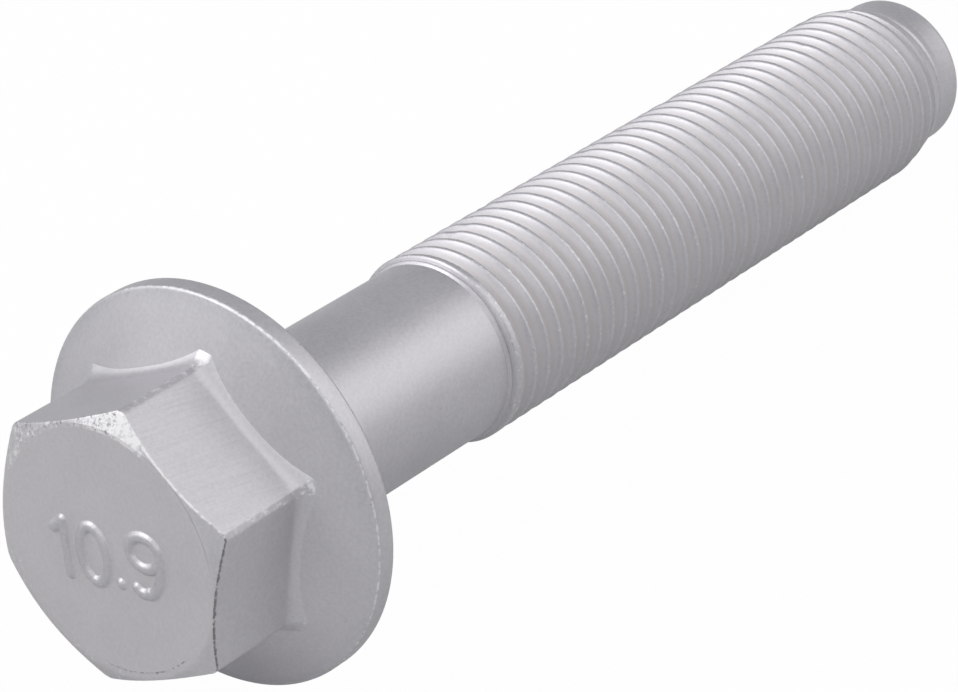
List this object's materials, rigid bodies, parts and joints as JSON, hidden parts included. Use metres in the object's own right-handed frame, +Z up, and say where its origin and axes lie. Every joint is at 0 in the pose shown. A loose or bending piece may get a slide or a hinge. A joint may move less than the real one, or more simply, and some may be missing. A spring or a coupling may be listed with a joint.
{
  "type": "control arm bolt",
  "caption": "Hex flange bolt with a plain shank, a fine thread and a long pilot point, used to fasten a car's control arm.",
  "frame": {"origin": "centre of the flange's bearing face, on the bolt's axis", "axes": "+X towards the point, with the bolt's axis in the XZ plane and dipping 5.5 degrees, because the bolt lies on its flange's rim and its thread's end; +Z up"},
  "size_m": [0.0934, 0.0282, 0.0283],
  "materials": {
    "zinc_flake_steel": "satin"
  },
  "bodies": {
    "root": {"bolt": "zinc_flake_steel"}
  },
  "joints": []
}
